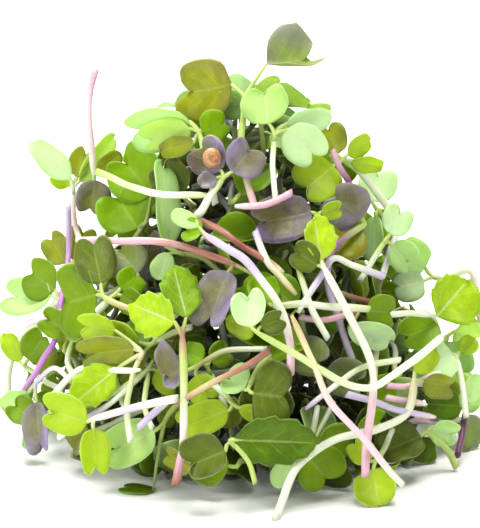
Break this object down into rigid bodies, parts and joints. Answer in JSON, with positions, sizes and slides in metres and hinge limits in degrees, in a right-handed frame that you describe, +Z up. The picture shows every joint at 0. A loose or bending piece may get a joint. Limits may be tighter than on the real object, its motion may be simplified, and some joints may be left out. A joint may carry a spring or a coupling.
{
  "type": "heap of radish microgreens",
  "caption": "Loose heap of cut radish seedlings with pale and pink stems, lobed green and purple seed leaves and a few saw-edged true leaves.",
  "frame": {"origin": "centre of the heap's bounding box in X and Y, on the surface that it lies on", "axes": "+Z up, -Y towards the viewer of the picture, +X to the viewer's right"},
  "size_m": [0.1164, 0.117, 0.1022],
  "materials": {
    "hull_brown": "satin, moist plant tissue",
    "leaf_green": "satin, moist plant tissue",
    "leaf_lime": "satin, moist plant tissue",
    "leaf_mint": "satin, moist plant tissue",
    "leaf_olive": "satin, moist plant tissue",
    "leaf_purple": "satin, moist plant tissue",
    "stem_cream": "satin, moist plant tissue",
    "stem_lilac": "satin, moist plant tissue",
    "stem_pink": "satin, moist plant tissue",
    "stem_white": "satin, moist plant tissue"
  },
  "bodies": {
    "root": {"bigSaw": "leaf_green", "brownCross_stems": "stem_cream", "bunch_back_left": "leaf_green", "bunch_back_middle": "leaf_green", "bunch_back_right": "leaf_green", "bunch_crest": "leaf_green", "bunch_upper_left": "leaf_green", "bunch_upper_right": "leaf_green", "centre_leaves": "leaf_green", "centre_stems": "stem_lilac", "creamCup_leaves": "leaf_mint", "creamCup_stems": "stem_cream", "crown_leaves": "leaf_olive", "crown_stems": "stem_pink", "darkFront": "leaf_purple", "darkPurple": "leaf_purple", "deepGreen": "leaf_green", "doubleLobe": "leaf_olive", "foldedSaw": "leaf_lime", "fork_leaves": "leaf_lime", "fork_stems": "stem_pink", "frontArc_leaves": "leaf_olive", "frontArc_stems": "stem_white", "frontGreen": "leaf_green", "greenHeart": "leaf_green", "greyGreen": "leaf_olive", "greyHang": "leaf_purple", "greyTwist": "leaf_purple", "limeCurve": "leaf_lime", "limeHeart_leaves": "leaf_lime", "limeHeart_stems": "stem_pink", "limeRight": "leaf_lime", "limeRound": "leaf_lime", "limeTop": "leaf_mint", "longWhite_leaves": "leaf_lime", "longWhite_stems": "stem_white", "magenta_stems": "stem_lilac", "mintLeft": "leaf_mint", "mintNarrow": "leaf_mint", "mintPair_leaves": "leaf_mint", "mintPair_stems": "stem_white", "mintRight_leaves": "leaf_mint", "mintRight_stems": "stem_lilac", "oliveHeart": "leaf_olive", "palePair": "leaf_mint", "paleStalk": "leaf_mint", "pinkLong_leaves": "leaf_purple", "pinkLong_stems": "stem_pink", "purpleGold": "leaf_olive", "purpleTop_leaves": "leaf_purple", "purpleTop_stems": "stem_white", "roundMint": "leaf_mint", "sawCup": "leaf_lime", "seed_hull": "hull_brown", "star": "leaf_green", "strap": "leaf_mint", "upFold": "leaf_green", "upright": "leaf_olive"}
  },
  "joints": []
}
